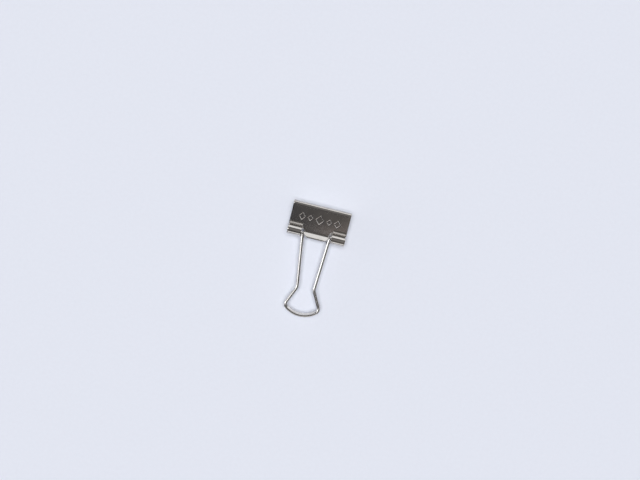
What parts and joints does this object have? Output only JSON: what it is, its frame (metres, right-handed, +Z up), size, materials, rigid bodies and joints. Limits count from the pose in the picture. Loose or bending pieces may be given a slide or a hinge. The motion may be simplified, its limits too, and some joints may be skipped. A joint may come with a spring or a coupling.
{
  "type": "binder clip",
  "caption": "Small bright steel binder clip: triangular spring body with rolled lips and two folding wire handles.",
  "frame": {"origin": "centre of the footprint of the closed clip, on the table that it lies on", "axes": "+X across the clip along its rolls, +Y from the mouth towards the spine, +Z up; the clip's mid-plane, where the paper goes, is level at Z = 4.3 mm"},
  "size_m": [0.019, 0.0366, 0.0086],
  "materials": {
    "body_nickel": "bright nickel-plated spring steel sheet",
    "wire_nickel": "bright nickel-plated steel wire"
  },
  "bodies": {
    "spine": {"spine": "body_nickel"},
    "front_jaw": {"front_jaw": "body_nickel"},
    "rear_jaw": {"rear_jaw": "body_nickel"},
    "front_handle": {"front_handle": "wire_nickel"},
    "rear_handle": {"rear_handle": "wire_nickel"}
  },
  "joints": [
    {"name": "front_jaw_open", "type": "hinge", "parent": "spine", "child": "front_jaw", "pos_m": [0, 0.01782, 0.00845], "axis": [-1, 0, 0], "range_deg": [0, 28], "stiffness_Nm_per_rad": 0.5, "springref_deg": -3.44},
    {"name": "rear_jaw_open", "type": "hinge", "parent": "spine", "child": "rear_jaw", "pos_m": [0, 0.01782, 0.00015], "axis": [1, 0, 0], "range_deg": [0, 28], "stiffness_Nm_per_rad": 0.5, "springref_deg": -3.44},
    {"name": "front_handle_swing", "type": "hinge", "parent": "front_jaw", "child": "front_handle", "pos_m": [0, 0.00874, 0.00605], "axis": [-1, 0, 0], "range_deg": [0, 160]},
    {"name": "rear_handle_swing", "type": "hinge", "parent": "rear_jaw", "child": "rear_handle", "pos_m": [0, 0.00874, 0.00255], "axis": [1, 0, 0], "range_deg": [-6.8, 153]}
  ],
  "couplings": [
    {"joint": "rear_jaw_open", "follows": "front_jaw_open", "ratio": 1}
  ]
}
